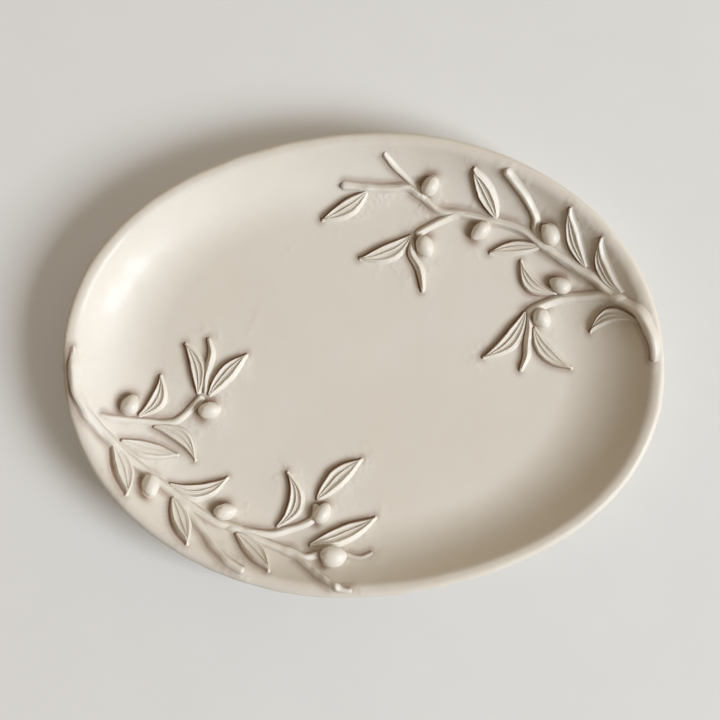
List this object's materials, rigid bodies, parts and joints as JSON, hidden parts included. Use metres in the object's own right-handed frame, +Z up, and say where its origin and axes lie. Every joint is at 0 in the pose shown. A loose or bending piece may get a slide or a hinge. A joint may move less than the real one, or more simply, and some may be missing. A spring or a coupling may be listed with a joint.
{
  "type": "oval tray",
  "caption": "Oval ceramic serving tray with a coved wall, a rounded lip, a foot ring and applied olive branches laid round its sides.",
  "frame": {"origin": "on the surface the tray stands on, under the middle of the dish", "axes": "+X along the length of the oval, +Y along its width, +Z up out of the dish"},
  "size_m": [0.4026, 0.3122, 0.0412],
  "materials": {
    "cream_glaze": "glossy cream glaze with soft mottling and fine pits",
    "relief_glaze": "the same glaze, thin on the ridges and pooled warm in the hollows",
    "bare_clay": "unglazed fired clay, wiped clean"
  },
  "bodies": {
    "root": {"foot_ring": "bare_clay", "left_leaf_arched": "relief_glaze", "left_leaf_drop": "relief_glaze", "left_leaf_fan_left": "relief_glaze", "left_leaf_fan_middle": "relief_glaze", "left_leaf_fan_right": "relief_glaze", "left_leaf_floor": "relief_glaze", "left_leaf_hang": "relief_glaze", "left_leaf_high": "relief_glaze", "left_leaf_hook": "relief_glaze", "left_leaf_inner": "relief_glaze", "left_leaf_long": "relief_glaze", "left_leaf_shore": "relief_glaze", "left_leaf_wall": "relief_glaze", "left_main_stem": "relief_glaze", "left_olive_end": "relief_glaze", "left_olive_fan": "relief_glaze", "left_olive_floor": "relief_glaze", "left_olive_high": "relief_glaze", "left_olive_shore": "relief_glaze", "left_olive_wall": "relief_glaze", "left_twig_end": "relief_glaze", "left_twig_inner": "relief_glaze", "left_twig_link": "relief_glaze", "left_twig_long": "relief_glaze", "left_twig_upper": "relief_glaze", "platter_body": "cream_glaze", "right_leaf_arched": "relief_glaze", "right_leaf_crown": "relief_glaze", "right_leaf_curl": "relief_glaze", "right_leaf_fan_left": "relief_glaze", "right_leaf_fan_middle": "relief_glaze", "right_leaf_fan_right": "relief_glaze", "right_leaf_far": "relief_glaze", "right_leaf_flat": "relief_glaze", "right_leaf_low": "relief_glaze", "right_leaf_rim": "relief_glaze", "right_leaf_under": "relief_glaze", "right_leaf_wall": "relief_glaze", "right_main_stem": "relief_glaze", "right_olive_arch": "relief_glaze", "right_olive_bud": "relief_glaze", "right_olive_fan": "relief_glaze", "right_olive_low": "relief_glaze", "right_olive_stem": "relief_glaze", "right_olive_top": "relief_glaze", "right_twig_bud": "relief_glaze", "right_twig_high": "relief_glaze", "right_twig_inner": "relief_glaze", "right_twig_left": "relief_glaze", "right_twig_low": "relief_glaze"}
  },
  "joints": []
}
